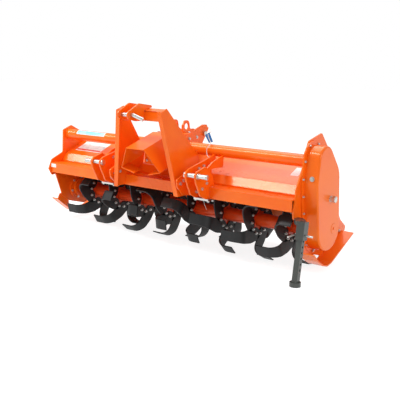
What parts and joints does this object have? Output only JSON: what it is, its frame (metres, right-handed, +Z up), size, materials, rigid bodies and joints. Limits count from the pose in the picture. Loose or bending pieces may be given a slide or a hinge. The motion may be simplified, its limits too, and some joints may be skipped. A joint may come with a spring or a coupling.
{
  "type": "rotavator",
  "caption": "Tractor-mounted rotavator with side gear drive, bladed rotor, hitch mast, adjustable trailing board and parking stand.",
  "frame": {"origin": "on the floor, below the centre of the outline", "axes": "+X toward the gear case end of the rotor, +Y toward the rear, +Z up"},
  "size_m": [2.357, 0.998, 0.9777],
  "materials": {
    "orange_paint": "orange powder coat, semi gloss",
    "black_paint": "black paint on hardened steel blades",
    "zinc": "bright zinc plate",
    "grey_paint": "dark grey-green paint",
    "cast_case": "orange paint over cast iron",
    "bare_steel": "machined steel, greased",
    "spring_steel": "black spring steel"
  },
  "bodies": {
    "frame": {"bearing_left": "orange_paint", "bearing_right": "orange_paint", "deck_front": "orange_paint", "deck_rear": "orange_paint", "front_beam": "orange_paint", "gear_case_cover": "orange_paint", "gear_case_plug": "zinc", "gear_case_rim": "orange_paint", "gearbox": "cast_case", "gearbox_front_plate": "cast_case", "hinge_rod": "zinc", "hitch_clamp_left": "zinc", "hitch_clamp_right": "zinc", "hitch_ears_left": "orange_paint", "hitch_ears_right": "orange_paint", "lower_link_pin_left": "zinc", "lower_link_pin_right": "zinc", "main_tube_left": "orange_paint", "main_tube_right": "orange_paint", "mast_crossbeam": "orange_paint", "mast_foot_bracket_left": "orange_paint", "mast_foot_bracket_right": "orange_paint", "mast_left": "orange_paint", "mast_right": "orange_paint", "pto_shield": "orange_paint", "rear_bracket_left": "orange_paint", "rear_bracket_right": "orange_paint", "side_plate_left": "orange_paint", "side_plate_right": "orange_paint", "skid_left": "orange_paint", "skid_right": "orange_paint", "stand_pin": "zinc", "stand_socket": "grey_paint", "top_link_ears": "orange_paint", "top_link_pin": "zinc", "trunnion": "orange_paint"},
    "rotor": {"rotor_tube": "orange_paint", "blade_set_1": "black_paint", "blade_set_2": "black_paint", "blade_set_3": "black_paint", "blade_set_4": "black_paint", "blade_set_5": "black_paint", "blade_set_6": "black_paint", "blade_set_7": "black_paint", "blade_set_8": "black_paint"},
    "board": {"trailing_board": "orange_paint", "lug_pin": "zinc"},
    "adjuster_upper": {"adjuster_tube": "orange_paint", "adjuster_spring": "spring_steel"},
    "adjuster_lower": {"adjuster_rod": "zinc"},
    "stand": {"stand_tube": "grey_paint"},
    "input_shaft": {"pto_shaft": "bare_steel"}
  },
  "joints": [
    {"name": "rotor_spin", "type": "hinge", "parent": "frame", "child": "rotor", "pos_m": [-0.0445, 0.072, 0.25], "axis": [1, 0, 0], "continuous": true},
    {"name": "board_swing", "type": "hinge", "parent": "frame", "child": "board", "pos_m": [-0.0445, 0.364, 0.432], "axis": [1, 0, 0], "range_deg": [0, 35]},
    {"name": "adjuster_tilt", "type": "hinge", "parent": "frame", "child": "adjuster_upper", "pos_m": [-0.0445, 0.262, 0.745], "axis": [1, 0, 0], "range_deg": [0, 10.26]},
    {"name": "adjuster_slide", "type": "slide", "parent": "adjuster_upper", "child": "adjuster_lower", "axis": [0, 0.4154, -0.9096], "range_m": [-0.04101, 0], "deforming": ["adjuster_spring"]},
    {"name": "stand_slide", "type": "slide", "parent": "frame", "child": "stand", "axis": [0, 0.1564, 0.9877], "range_m": [0, 0.2]},
    {"name": "pto_spin", "type": "hinge", "parent": "frame", "child": "input_shaft", "pos_m": [-0.0445, -0.13, 0.61], "axis": [0, 1, 0], "continuous": true}
  ],
  "couplings": [
    {"joint": "pto_spin", "follows": "rotor_spin", "ratio": 2.57},
    {"joint": "adjuster_tilt", "follows": "board_swing", "ratio": 0.28736},
    {"joint": "adjuster_slide", "follows": "board_swing", "m_per_rad": -0.066314}
  ]
}
